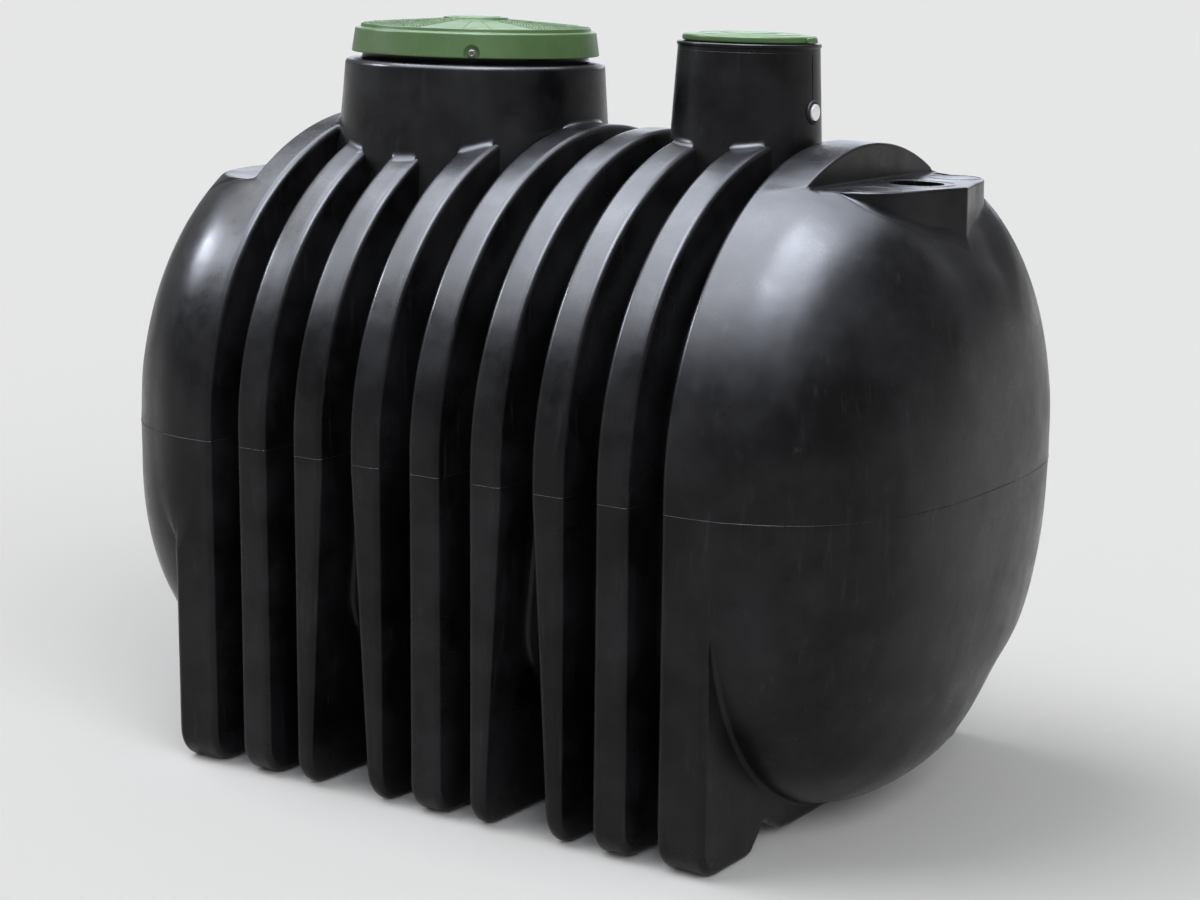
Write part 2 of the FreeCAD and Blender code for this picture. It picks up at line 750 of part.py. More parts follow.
lid_screws = new_body("lid_screws")
lid_screws.AllowCompound = True
lid_screws.Placement.Rotation = FreeCAD.Rotation(FreeCAD.Vector(0, 0, -1), S["screw_turn"].value)
lid_screws.setExpression("Placement.Rotation.Angle", S["screw_turn"].text)
place(lid_screws, "x", -S["manhole_place"])
head_loop = circle_loop(S["screw_head"], screw_up)
shank_loop = circle_loop(S["screw_radius"], screw_up)
head = add_pad(lid_screws, "YZ_Plane", recess_face, S["screw_head_length"], [head_loop])
shank_length = recess_face - S["collar_radius"]
shank = add_pad(lid_screws, "YZ_Plane", S["collar_radius"], shank_length, [shank_loop])
screw_pattern(lid_screws, [head, shank])

# Filter lid: a disc with a plug that reaches into the neck's mouth.
plug_side = S["filter_mouth"] - S["filter_plug_gap"]
filter_lid = new_body("filter_lid")
add_revolution(
    filter_lid,
    [
        (ZERO, rim),
        (plug_side - lid_wall, rim),
        (plug_side - lid_wall, rim - S["filter_plug_drop"]),
        (plug_side, rim - S["filter_plug_drop"]),
        (plug_side, rim),
        (S["filter_lid_radius"], rim),
        (S["filter_lid_radius"], rim + S["filter_lid_edge"]),
        (ZERO, rim + S["filter_lid_edge"] + S["filter_lid_rise"]),
    ],
)
place(filter_lid, "x", S["filter_place"])

# Finished pieces by node name.
nodes = {}
for index, rib in enumerate(ribs):
    nodes[f"rib_{index + 1}"] = rib
for index, valley in enumerate(valleys):
    nodes[f"valley_{index + 1}"] = valley
nodes["left_end_ring"] = rear_ring
under_manhole = ["left_end_ring", "valley_1", "rib_1", "valley_2", "rib_2", "valley_3", "rib_3", "valley_4"]
for name in under_manhole + ["rib_4"]:
    nodes[name] = cut(name, nodes[name], manhole_space)
for name in ["valley_6", "rib_6", "valley_7", "rib_7", "valley_8"]:
    nodes[name] = cut(name, nodes[name], filter_space)
nodes["right_end_ring"] = end_ring
nodes["right_end_dome"] = near_dome
nodes["left_end_dome"] = rear_dome
nodes["inlet_shelf"] = cut("inlet_shelf", shelf, inlet_hole)
nodes["rear_shelf"] = rear_shelf
nodes["manhole_neck"] = cut("manhole_neck", manhole_body, barrel)
nodes["filter_neck"] = cut("filter_neck", cut("filter_neck_trimmed", filter_body, barrel), port_space)
nodes["manhole_lid"] = manhole_lid
nodes["lid_screws"] = lid_screws
nodes["filter_lid"] = filter_lid
nodes["port_grommet"] = grommet
nodes["port_plug"] = plug

doc.recompute()
for thing in doc.Objects:
    if "Invalid" in thing.State or "Error" in thing.State:
        raise RuntimeError(f"{thing.Name} did not build: {thing.State}")

os.makedirs("parts", exist_ok=True)
for name, thing in nodes.items():
    shape = thing.Shape
    if shape.isNull() or not shape.isValid() or not shape.Solids:
        raise RuntimeError(f"{name} is not a sound solid")
    thing.Label = name
    shape.exportStep(f"parts/{name}.step")
    box = shape.BoundBox
    print(
        f"{name}: {len(shape.Solids)} solid, {shape.Volume / 1e6:.3f} litres,"
        f" x {box.XMin:.1f} {box.XMax:.1f}, y {box.YMin:.1f} {box.YMax:.1f}, z {box.ZMin:.1f} {box.ZMax:.1f}"
    )
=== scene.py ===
import math

import bpy
import numpy as np
from mathutils import Matrix, Vector


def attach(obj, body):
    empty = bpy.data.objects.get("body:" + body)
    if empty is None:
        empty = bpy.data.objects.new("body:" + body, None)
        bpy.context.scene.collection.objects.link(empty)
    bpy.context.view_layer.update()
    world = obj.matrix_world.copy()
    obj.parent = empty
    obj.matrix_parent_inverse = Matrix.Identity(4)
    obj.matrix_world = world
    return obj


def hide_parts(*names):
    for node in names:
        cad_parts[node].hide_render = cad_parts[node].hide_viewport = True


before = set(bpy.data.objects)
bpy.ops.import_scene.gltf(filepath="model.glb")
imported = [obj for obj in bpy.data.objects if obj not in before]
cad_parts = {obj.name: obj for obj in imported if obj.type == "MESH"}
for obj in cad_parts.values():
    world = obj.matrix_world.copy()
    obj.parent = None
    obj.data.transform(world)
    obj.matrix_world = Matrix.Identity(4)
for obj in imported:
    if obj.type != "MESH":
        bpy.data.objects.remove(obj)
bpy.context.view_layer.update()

# Rainwater tank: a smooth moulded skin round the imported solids.
# Sizes of the tank are in millimetres. Lamps and camera are placed in metres.
MM = 0.001
WALL = 8.0

# Ribs and end rings: each crest is an arch on two leaning legs with rounded toes.
CENTRE = 766.0
CREST = 630.0
VALLEY = 504.0
LEAN = 0.031
TOE = 65.0
PITCH = 148.3
WIDTH = 75.3
RIB_COUNT = 7
RING_IN = 555.5
RING_OUT = 662.0
RING_MIDDLE = 578.0
DRAFT = 0.04
GROOVE = 17.0
CREST_ROUND = 13.0
FOOT_ROUND = 10.0
FOOT_SHIFT = 22.0
LEG_ROUND = 15.0
LEG_GROOVE = 9.0
SHELF_ROUND = 5.0

# Two valleys widen below this height into the ribs beside them, as channels for lifting straps.
CHANNEL_TOP = 710.0
CHANNEL_REACH = 40.0
CHANNEL_RIBS_BEFORE = (1, 4)
CHANNEL_RIBS_AFTER = (2, 5)

# End domes: an oval that shrinks towards the tip, with flats for the shelves.
DOME_DEPTH = 305.0
DOME_LEAD = 0.25
DOME_SIDE = 2.62
DOME_BELLY = 2.88
DOME_TIP = 810.0
DOME_SINK = 35.0
DOME_HALF = 618.0
DOME_CORNER = 580.0
DOME_UNDER = 1600.0
DOME_FALL = 780.0
DOME_DIP = 40.0
DOME_STEPS = 52
DOME_SOFT_STOP = 748.0
UPPER_SLIM = 0.008
CROWN_SLIM = 0.012
SHELF_TOP = 1321.5
REAR_FLAT = 1255.0
REAR_WALL = 630.0
PARTING = 722.0

# Half sections of the shell, from the top (angle 0) down one side to the bottom (180 degrees).
PHI = np.concatenate([
    np.linspace(0, 24, 14)[:-1],
    np.linspace(24, 44, 31)[:-1],
    np.linspace(44, 88, 30)[:-1],
    np.linspace(88, 137, 43)[:-1],
    np.linspace(137, 160, 41)[:-1],
    np.linspace(160, 180, 11),
])
SIN = np.sin(np.radians(PHI))
COS = np.cos(np.radians(PHI))
FINE = np.linspace(0, 180, 1801)


def arc(across, up, radius, start, stop, count):
    angle = np.radians(np.linspace(start, stop, count))
    return np.stack([across + radius * np.sin(angle), up + radius * np.cos(angle)], 1)


def run(corners, count=14):
    pieces = [np.linspace(a, b, count)[:-1] for a, b in zip(corners, corners[1:])]
    return np.concatenate(pieces + [np.array(corners[-1:])])


def radii(points, centre, soft=0.0):
    """Distance from the section's centre to its outline, for each angle in PHI."""
    angle = np.degrees(np.arctan2(points[:, 0], points[:, 1] - centre))
    angle = np.maximum.accumulate(angle)
    radius = np.interp(FINE, angle, np.hypot(points[:, 0], points[:, 1] - centre))
    if soft:
        reach = int(soft * 30)
        kernel = np.exp(-0.5 * (np.arange(-reach, reach + 1) / (soft * 10)) ** 2)
        padded = np.pad(radius, reach, mode="reflect")
        radius = np.convolve(padded, kernel / kernel.sum(), mode="valid")
    return np.interp(PHI, FINE, radius)


def oval(half, corner, belly, low, arch):
    """A round top on straight sides, with rounded corners over a wide curved underside."""
    middle = low + belly
    reach = belly - corner
    fall = math.sqrt(reach**2 - (half - corner) ** 2)
    turn = middle - fall
    meet = 180 - math.degrees(math.atan2(half - corner, fall))
    leg = run([(half, arch), (half, turn)], 30)
    return np.concatenate([
        arc(0, arch, half, 0, 90, 120),
        leg[1:-1],
        arc(half - corner, turn, corner, 90, meet, 80),
        arc(0, middle, belly, meet, 180, 40)[1:],
    ])


def crest(under):
    """The outline of a rib or end ring, closed below by the given points between its feet."""
    lean = math.atan(LEAN)
    turn = 90 + math.degrees(lean)
    heel = (CREST - TOE - (CENTRE - TOE) * math.sin(lean)) / math.cos(lean)
    top = arc(0, CENTRE, CREST, 0, turn, 140)
    toe = arc(heel, TOE, TOE, turn, 180, 40)
    leg = run([tuple(top[-1]), tuple(toe[0])], 60)
    return np.concatenate([top, leg[1:-1], toe, run([tuple(toe[-1])] + under)[1:]])


def outline(radius, centre):
    return np.stack([radius * SIN, centre + radius * COS], 1)


RIB = outline(radii(crest([(335, 0), (306, 52), (0, 52)]), CENTRE, 0.35), CENTRE)
RING = outline(
    radii(crest([(410, 0), (377, 52), (345, 52), (265, 16), (0, 16)]), CENTRE, 0.35), CENTRE
)
HULL = outline(radii(oval(VALLEY, 160, 640, 120, CENTRE), CENTRE), CENTRE)

# End dome: sections that shrink with a share from 1 at the end ring to 0 at the tip.
SIDE_SPAN = 1 - DOME_LEAD**DOME_SIDE
BELLY_SPAN = 1 - DOME_LEAD**DOME_BELLY
SHARES = np.linspace(0, (1 / SIDE_SPAN) ** (1 / DOME_SIDE), 204)


def dome_radii(share):
    reach = max(1 - SIDE_SPAN * share**DOME_SIDE, 0) ** (1 / DOME_SIDE)
    belly = ((1 - reach**DOME_BELLY) / BELLY_SPAN) ** (1 / DOME_BELLY)
    arch = DOME_TIP - DOME_SINK * share
    low = DOME_TIP - DOME_FALL * belly
    points = oval(DOME_HALF * share, DOME_CORNER * share, DOME_UNDER * share, low, arch)
    return radii(points, arch)


DOME_TABLE = np.stack([np.zeros(len(PHI))] + [dome_radii(s) for s in SHARES[1:]])
ROWS = np.arange(len(PHI))


def dome_share(along):
    reach = DOME_LEAD + (1 - DOME_LEAD) * (along - RING_OUT) / DOME_DEPTH
    reach = np.clip(reach, 0, 1)
    return ((1 - reach**DOME_SIDE) / SIDE_SPAN) ** (1 / DOME_SIDE)


def soft_min(a, b, reach):
    mix = np.clip(0.5 + 0.5 * (b - a) / reach, 0, 1)
    return b * (1 - mix) + a * mix - reach * mix * (1 - mix)


def step(value, start, stop):
    part = np.clip((value - start) / (stop - start), 0, 1)
    return part * part * (3 - 2 * part)


def dip(turn, along):
    """How much the dome is flattened under the inlet shelf's prow."""
    depth = DOME_DIP * (1 - step(turn, 12, 28))
    return depth * step(along, 740, 835) * (1 - step(along, 885, 950))


def swell(height):
    """Share by which the dome stands out at its parting and draws in above and below it."""
    parting = 0.017 * np.exp(-np.abs(height - PARTING) / 75)
    above = UPPER_SLIM * step(height, 350, 520) + CROWN_SLIM * step(height, 820, 960)
    below = 0.055 * np.exp(-(((height - 235) / 95) ** 2))
    return parting - above - below


def clear_of_ring(share):
    """0 beside the end ring and 1 well out on the dome."""
    return step(1 - share, 0.02, 0.3)


def dome_outline(along, flat, prow):
    """The dome's section at each angle's own place along the tank, cut off above a flat."""
    share = dome_share(along)
    place = share / SHARES[-1] * (len(SHARES) - 1)
    low = np.minimum(place.astype(int), len(SHARES) - 2)
    part = place - low
    radius = DOME_TABLE[low, ROWS] * (1 - part) + DOME_TABLE[low + 1, ROWS] * part
    centre = DOME_TIP - DOME_SINK * share
    radius = radius - prow * dip(PHI, along)
    height = centre + radius * COS
    radius = radius * (1 + swell(height) * clear_of_ring(share))
    ceiling = np.where(PHI < 80, (flat - centre) / np.maximum(COS, 0.17), 1e6)
    radius = np.where(PHI < 80, soft_min(radius, ceiling, 6.0), radius)
    return np.stack([radius * SIN, centre + radius * COS], 1)


def quarter_turn(count):
    return np.radians(np.linspace(0, 90, count))


# The middle of an end ring's crest moves out at the foot, where the ring is wider.
RING_LINE = RING_MIDDLE + FOOT_SHIFT * step(PHI, 137, 146)


def rib_flank(middle, edge, far_edge, sign, top, base):
    """Columns from the middle of a crest over its edge and down to the valley floor."""
    depth = np.linalg.norm(top - base, axis=1)
    width = np.abs(edge - far_edge)
    round_x = np.minimum(CREST_ROUND + FOOT_ROUND * step(PHI, 139, 147), 0.4 * width)
    round_x = np.minimum(round_x, np.abs(edge - middle) - 1.5)
    groove = np.minimum(GROOVE, 0.3 * depth)
    columns = []

    def add(x, d):
        part = (d / depth)[:, None]
        columns.append((x, top + (base - top) * part))

    zero = np.zeros(len(PHI))
    add(middle + zero, zero)
    add(middle + (edge - sign * round_x - middle) * 0.6, zero)
    for a in quarter_turn(6):
        d = round_x * (1 - math.cos(a))
        add(edge - sign * round_x * (1 - math.sin(a)) + sign * DRAFT * d, d)
    for share in (0.35, 0.7):
        d = round_x + (depth - round_x - groove) * share
        add(edge + sign * DRAFT * d, d)
    split = len(columns) - 1
    for a in quarter_turn(6):
        d = depth - groove + groove * math.sin(a)
        add(edge + sign * (DRAFT * d + groove * (1 - math.cos(a))), d)
    return columns, split


def end_flank(middle, flat, prow, wall_low, shift, fade):
    """Columns from the middle of an end ring's crest out over its face and the dome to the tip.

    Above a shelf the crest ends in a wall, which fades out from the angle shift on. Beside it
    the crest runs smoothly into the dome, and further down the leg's face ends at a rounded
    corner and a hollow along the dome.
    """
    away = step(PHI, shift, shift + fade)
    wall_x = wall_low + (RING_OUT - wall_low) * away
    base = dome_outline(wall_x, flat, prow)
    depth = np.maximum(np.linalg.norm(RING - base, axis=1), 0.5)
    firm = np.maximum(1 - away, step(depth, 6, 24) * step(PHI, 95, 112))
    round_x = np.where(PHI < 90, SHELF_ROUND, LEG_ROUND)
    groove_x = np.where(PHI < 90, SHELF_ROUND, LEG_GROOVE)
    round_d = np.minimum(round_x, 0.45 * depth)
    groove_d = np.minimum(groove_x, 0.45 * depth)
    soft_start = middle + 6.0
    columns = []

    def add(x, d):
        share = (len(columns) - 1) / (total - 1)
        easy_x = soft_start + (DOME_SOFT_STOP - soft_start) * share
        easy_w = 1 - step(share, 0, 1)
        x = easy_x + (x - easy_x) * firm
        w = easy_w + (1 - d / depth - easy_w) * firm
        dome = dome_outline(x, flat, prow)
        columns.append((x, dome + (RING - dome - (base - dome) * firm[:, None]) * w[:, None]))

    zero = np.zeros(len(PHI))
    columns.append((middle + zero, RING))
    turns = quarter_turn(8)
    down = (0.25, 0.5, 0.75)
    total = len(down) + 2 * len(turns)
    for a in turns:
        add(wall_x - round_x * (1 - math.sin(a)), round_d * (1 - math.cos(a)))
    for share in down:
        add(wall_x, round_d + (depth - round_d - groove_d) * share)
    for a in turns:
        add(wall_x + groove_x * (1 - math.cos(a)), depth - groove_d * (1 - math.sin(a)))
    split = len(columns) - 1
    start = columns[-1][0]
    for j in range(1, DOME_STEPS + 1):
        part = 1 - (1 - j / DOME_STEPS) ** DOME_SIDE
        x = start + (RING_OUT + DOME_DEPTH - start) * part
        columns.append((x, dome_outline(x, flat, prow)))
    return columns, split


# The whole skin as one grid of columns along the tank, with the place of each node in it.
columns = []
spans = {}


def climb(valley, cut, flank, split):
    """Adds the columns that rise from a valley's floor to the next crest."""
    start = len(columns)
    columns.extend(flank[::-1])
    foot = start + len(flank) - 1 - split
    spans[valley] = (cut, foot)
    return foot


def descend(crest_name, foot, flank, split):
    """Adds the columns that fall from a crest's middle, which is there already."""
    start = len(columns) - 1
    columns.extend(flank[1:])
    spans[crest_name] = (foot, start + split)
    return start + split


right, right_split = end_flank(
    RING_LINE, flat=SHELF_TOP - 0.6, prow=1, wall_low=RING_OUT, shift=26.0, fade=5.0
)
left, left_split = end_flank(
    RING_LINE, flat=REAR_FLAT, prow=0, wall_low=REAR_WALL, shift=37.5, fade=2.5
)
columns.extend((-x, p) for x, p in left[::-1])
cut = len(left) - 1 - left_split
spans["left_end_dome"] = (0, cut)
ring_in = np.full(len(PHI), RING_IN)
ring_out = np.full(len(PHI), RING_OUT)
cut = descend("left_end_ring", cut, *rib_flank(-RING_LINE, -ring_in, -ring_out, 1, RING, HULL))
drop = np.clip(CHANNEL_TOP - RIB[:, 1], 0, None) / CHANNEL_TOP * CHANNEL_REACH
for index in range(RIB_COUNT):
    middle = PITCH * (index - (RIB_COUNT - 1) / 2)
    low_edge = middle - WIDTH / 2 + drop * (index in CHANNEL_RIBS_AFTER)
    high_edge = middle + WIDTH / 2 - drop * (index in CHANNEL_RIBS_BEFORE)
    middle = (low_edge + high_edge) / 2
    rise = rib_flank(middle, low_edge, high_edge, -1, RIB, HULL)
    foot = climb(f"valley_{index + 1}", cut, *rise)
    fall = rib_flank(middle, high_edge, low_edge, 1, RIB, HULL)
    cut = descend(f"rib_{index + 1}", foot, *fall)
foot = climb("valley_8", cut, *rib_flank(RING_LINE, ring_in, ring_out, -1, RING, HULL))
cut = descend("right_end_ring", foot, right, right_split)
spans["right_end_dome"] = (cut, len(columns) - 1)

near = np.array([np.stack([x, p[:, 0], np.maximum(p[:, 1], 0)], 1) for x, p in columns])
far = near[:, -2:0:-1] * np.array([1, -1, 1])
SKIN = np.concatenate([near, far], 1)
TOP_X = near[:, 0, 0]
TOP_R = near[:, 0, 2] - CENTRE


def barrel_height(x, y):
    """Height of the ribbed top over a point."""
    radius = np.interp(x, TOP_X, TOP_R)
    return CENTRE + np.sqrt(np.maximum(radius**2 - y**2, 1.0))


def dome_height(x, y):
    """Height of the near dome's crown over a point."""
    share = dome_share(x)
    radius = DOME_HALF * share
    for _ in range(3):
        turn = np.arcsin(np.clip(np.abs(y) / radius, 0, 1))
        radius = DOME_HALF * share - dip(np.degrees(turn), x)
        radius = radius * (1 - (UPPER_SLIM + CROWN_SLIM) * clear_of_ring(share))
    return DOME_TIP - DOME_SINK * share + np.sqrt(np.maximum(radius**2 - y**2, 1.0))


# Meshes: an outer sheet with its normals becomes a closed wall.
def quads(rows, count):
    i, j = np.meshgrid(np.arange(rows - 1), np.arange(count), indexing="ij")
    k = (j + 1) % count
    found = [i * count + j, (i + 1) * count + j, (i + 1) * count + k, i * count + k]
    return np.stack(found, -1).reshape(-1, 4)


def normals_of(points, faces):
    a, b, c, d = (points[faces[:, k]] for k in range(4))
    face = np.cross(c - a, d - b)
    normals = np.zeros_like(points)
    for k in range(4):
        np.add.at(normals, faces[:, k], face)
    return normals / np.maximum(np.linalg.norm(normals, axis=1), 1e-9)[:, None]


def wall_piece(name, points, faces, normals, thickness, slot_name, *nodes):
    used, faces = np.unique(faces, return_inverse=True)
    faces = faces.reshape(-1, 4)
    points, normals = points[used], normals[used]
    count = len(points)
    edges = {}
    for face in faces.tolist():
        for a, b in zip(face, face[1:] + face[:1]):
            if a != b:
                edges[(a, b)] = None
    rim = [(a, b) for a, b in edges if (b, a) not in edges]
    verts = np.concatenate([points, points - normals * thickness])
    polygons = []
    corner_normals = []
    inner = (-normals).tolist()
    outer = normals.tolist()
    for face in faces.tolist():
        ring = list(dict.fromkeys(face))
        polygons.append(ring)
        corner_normals.extend(outer[v] for v in ring)
    for face in faces.tolist():
        ring = list(dict.fromkeys(face))[::-1]
        polygons.append([v + count for v in ring])
        corner_normals.extend(inner[v] for v in ring)
    for a, b in rim:
        polygons.append([b, a, a + count, b + count])
        flat = np.cross(verts[a] - verts[b], verts[a + count] - verts[b])
        flat = (flat / max(np.linalg.norm(flat), 1e-9)).tolist()
        corner_normals.extend([flat] * 4)
    return piece(name, verts, polygons, slot_name, nodes, corner_normals)


def piece(name, verts, polygons, slot_name, nodes=(), corner_normals=None):
    mesh = bpy.data.meshes.new(name)
    mesh.from_pydata((np.asarray(verts) * MM).tolist(), [], polygons)
    mesh.polygons.foreach_set("use_smooth", [True] * len(mesh.polygons))
    if corner_normals is not None:
        mesh.normals_split_custom_set(corner_normals)
    mesh.update()
    made = bpy.data.objects.new(name, mesh)
    bpy.context.scene.collection.objects.link(made)
    made.data.materials.append(MATERIALS[slot_name])
    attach(made, "root")
    if nodes:
        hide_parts(*nodes)
    return made


# Materials.
def shader(name):
    made = bpy.data.materials.new(name)
    made.use_nodes = True
    return made, made.node_tree.nodes, made.node_tree.links


def plastic(name, dark, light, rough_low, rough_high, grain, scuff):
    """Moulded plastic: clouds between two tones, pale scuffs, uneven gloss and a fine grain."""
    made, nodes, links = shader(name)
    bsdf = nodes["Principled BSDF"]
    bsdf.inputs["IOR"].default_value = 1.45
    bsdf.inputs["Specular IOR Level"].default_value = 0.22
    place = nodes.new("ShaderNodeTexCoord")

    def noise(scale, detail, roughness=0.55, stretch=None):
        node = nodes.new("ShaderNodeTexNoise")
        node.inputs["Scale"].default_value = scale
        node.inputs["Detail"].default_value = detail
        node.inputs["Roughness"].default_value = roughness
        if stretch:
            mapping = nodes.new("ShaderNodeMapping")
            mapping.inputs["Scale"].default_value = stretch
            links.new(place.outputs["Object"], mapping.inputs["Vector"])
            links.new(mapping.outputs["Vector"], node.inputs["Vector"])
        else:
            links.new(place.outputs["Object"], node.inputs["Vector"])
        return node.outputs["Fac"]

    def ramp(value, low, high, colours=((0, 0, 0, 1), (1, 1, 1, 1))):
        node = nodes.new("ShaderNodeValToRGB")
        node.color_ramp.elements[0].position = low
        node.color_ramp.elements[1].position = high
        node.color_ramp.elements[0].color = colours[0]
        node.color_ramp.elements[1].color = colours[1]
        links.new(value, node.inputs["Fac"])
        return node.outputs["Color"]

    cloud = ramp(noise(5, 7, 0.62), 0.4, 0.68, ((*dark, 1), (*light, 1)))
    streak = ramp(noise(9, 8, 0.7, (6, 6, 0.7)), 0.57, 0.8)
    mark = ramp(noise(26, 6, 0.75), 0.66, 0.78)
    both = nodes.new("ShaderNodeMath")
    both.operation = "MAXIMUM"
    links.new(streak, both.inputs[0])
    links.new(mark, both.inputs[1])
    amount = nodes.new("ShaderNodeMath")
    amount.operation = "MULTIPLY"
    amount.inputs[1].default_value = scuff
    links.new(both.outputs[0], amount.inputs[0])
    mix = nodes.new("ShaderNodeMix")
    mix.data_type = "RGBA"
    mix.inputs["B"].default_value = (*[c * 2.2 + 0.012 for c in light], 1)
    links.new(amount.outputs[0], mix.inputs["Factor"])
    links.new(cloud, mix.inputs["A"])
    links.new(mix.outputs["Result"], bsdf.inputs["Base Color"])
    rough = nodes.new("ShaderNodeMapRange")
    rough.inputs["From Min"].default_value = 0.3
    rough.inputs["From Max"].default_value = 0.75
    rough.inputs["To Min"].default_value = rough_low
    rough.inputs["To Max"].default_value = rough_high
    links.new(noise(7, 7, 0.65), rough.inputs["Value"])
    links.new(rough.outputs["Result"], bsdf.inputs["Roughness"])
    fine = nodes.new("ShaderNodeBump")
    fine.inputs["Strength"].default_value = grain
    fine.inputs["Distance"].default_value = 0.0004
    links.new(noise(420, 3), fine.inputs["Height"])
    wave = nodes.new("ShaderNodeBump")
    wave.inputs["Strength"].default_value = 0.24
    wave.inputs["Distance"].default_value = 0.004
    links.new(noise(11, 2), wave.inputs["Height"])
    links.new(fine.outputs["Normal"], wave.inputs["Normal"])
    links.new(wave.outputs["Normal"], bsdf.inputs["Normal"])
    return made


def steel(name):
    made, nodes, links = shader(name)
    bsdf = nodes["Principled BSDF"]
    bsdf.inputs["Metallic"].default_value = 1.0
    grain = nodes.new("ShaderNodeTexNoise")
    grain.inputs["Scale"].default_value = 300
    tone = nodes.new("ShaderNodeValToRGB")
    tone.color_ramp.elements[0].color = (0.10, 0.10, 0.095, 1)
    tone.color_ramp.elements[1].color = (0.17, 0.17, 0.16, 1)
    links.new(grain.outputs["Fac"], tone.inputs["Fac"])
    links.new(tone.outputs["Color"], bsdf.inputs["Base Color"])
    rough = nodes.new("ShaderNodeMapRange")
    rough.inputs["To Min"].default_value = 0.3
    rough.inputs["To Max"].default_value = 0.55
    links.new(grain.outputs["Fac"], rough.inputs["Value"])
    links.new(rough.outputs["Result"], bsdf.inputs["Roughness"])
    return made


MATERIALS = {
    "black_shell": plastic(
        "black_polyethylene", (0.0015, 0.0015, 0.0018), (0.011, 0.011, 0.0125),
        rough_low=0.22, rough_high=0.43, grain=0.25, scuff=0.5,
    ),
    "green_lid": plastic(
        "green_polyethylene", (0.062, 0.12, 0.04), (0.08, 0.148, 0.051),
        rough_low=0.34, rough_high=0.46, grain=0.2, scuff=0.18,
    ),
    "black_rubber": plastic(
        "black_rubber", (0.010, 0.010, 0.011), (0.018, 0.018, 0.019),
        rough_low=0.5, rough_high=0.62, grain=0.3, scuff=0.1,
    ),
    "white_plug": plastic(
        "white_plastic", (0.84, 0.84, 0.86), (0.88, 0.88, 0.9),
        rough_low=0.25, rough_high=0.36, grain=0.1, scuff=0.0,
    ),
    "screw_steel": steel("screw_steel"),
}

# Necks: their foot sweeps out over ribs and valleys in a soft fillet.
MANHOLE = -323.0
FILTER = 364.5
NECK_LOW = 1150.0
NECK_WALL = WALL * 0.6
PORT_HEIGHT = 1449.5
PORT_CUT = 19.0


class Neck:
    """A round neck that widens downwards from its top."""

    def __init__(self, middle, radius, flare, top):
        self.middle, self.radius, self.flare, self.top = middle, radius, flare, top

    def side(self, height):
        return self.radius + self.flare * (self.top - height)

    def holds(self, points):
        distance = np.hypot(points[:, 0] - self.middle, points[:, 1])
        return (distance < self.side(points[:, 2]) - 5) & (points[:, 2] > NECK_LOW)


MANHOLE_NECK = Neck(MANHOLE, 286, 0.077, 1518.5)
FILTER_NECK = Neck(FILTER, 147, 0.055, 1586.5)


def neck_points(neck, rim, count, sweep, stop):
    """Rows of points down a neck's rim, its side and its fillet, which keeps short of stop."""
    middle, side = neck.middle, neck.side
    rim_low = rim[-1][1]
    turn = np.linspace(0, 2 * math.pi, count, endpoint=False)
    out = np.stack([np.cos(turn), np.sin(turn)], 1)

    def over(distance):
        return barrel_height(middle + distance * out[:, 0], distance * out[:, 1])

    levels = np.arange(rim_low - 5, NECK_LOW, -0.5)
    reach = side(levels)[:, None]
    heights = barrel_height(middle + reach * out[:, 0], reach * out[:, 1])
    meet = levels[(levels[:, None] <= heights).argmax(0)]
    kernel = np.exp(-0.5 * (np.arange(-6, 7) / 2.0) ** 2)
    kernel /= kernel.sum()
    meet = np.convolve(np.concatenate([meet[-6:], meet, meet[:6]]), kernel, mode="valid")
    leftward = out[:, 0] < -0.2
    room = (stop - (middle + side(meet) * out[:, 0])) / np.where(leftward, out[:, 0], -1e-3)
    width = np.where(leftward, np.clip(room, 3, sweep), sweep)
    rows = []
    for distance, height in rim:
        rows.append(np.column_stack([out * distance, np.full(count, height)]))
    upper = np.minimum(meet + width * 1.1, rim_low - 4)
    for share in np.linspace(0, 1, 9)[1:]:
        height = rim_low + (upper - rim_low) * share
        rows.append(np.column_stack([out * side(height)[:, None], height]))
    last = side(meet) + width
    a = np.column_stack([side(upper), upper])
    b = np.column_stack([side(meet), meet])
    c = np.column_stack([last, over(last) + 0.3])
    for t in np.linspace(0, 1, 10)[1:]:
        curve = a * (1 - t) ** 2 + b * 2 * t * (1 - t) + c * t**2
        rows.append(np.column_stack([out * curve[:, :1], curve[:, 1]]))
    points = np.array(rows)
    points[..., 0] += middle
    return points


manhole_rim = [(249, 1570), (249, 1530), (250.5, 1522), (256, 1518.8)]
manhole_rim += [tuple(p) for p in arc(275, 1506.5, 12, 0, 88, 6)]
filter_rim = [(126, 1570), (126, 1585), (127.5, 1586.5), (147.5, 1586.5)]
filter_rim += [(149.3, 1585.6), (149.8, 1583.5), (149.8, 1580), (148.6, 1577.8), (147.7, 1576.5)]
NECKS = {
    "manhole_neck": neck_points(MANHOLE_NECK, manhole_rim, count=720, sweep=15, stop=-618),
    "filter_neck": neck_points(FILTER_NECK, filter_rim, count=480, sweep=14, stop=-900),
}
for name, points in NECKS.items():
    rows, count = points.shape[:2]
    flat = points.reshape(-1, 3)
    faces = quads(rows, count)
    normals = normals_of(flat, faces)
    x, y = points[-1, :, 0], points[-1, :, 1]
    gap = 1.5
    slope_x = barrel_height(x + gap, y) - barrel_height(x - gap, y)
    slope_y = barrel_height(x, y + gap) - barrel_height(x, y - gap)
    up = np.column_stack([-slope_x, -slope_y, np.full(count, 2 * gap)])
    normals[-count:] = up / np.linalg.norm(up, axis=1)[:, None]
    port = np.hypot(flat[:, 1], flat[:, 2] - PORT_HEIGHT) < PORT_CUT
    port &= flat[:, 0] > FILTER + 100
    faces = faces[~port[faces].all(1)]
    wall_piece(name, flat, faces, normals, NECK_WALL, "black_shell", name)

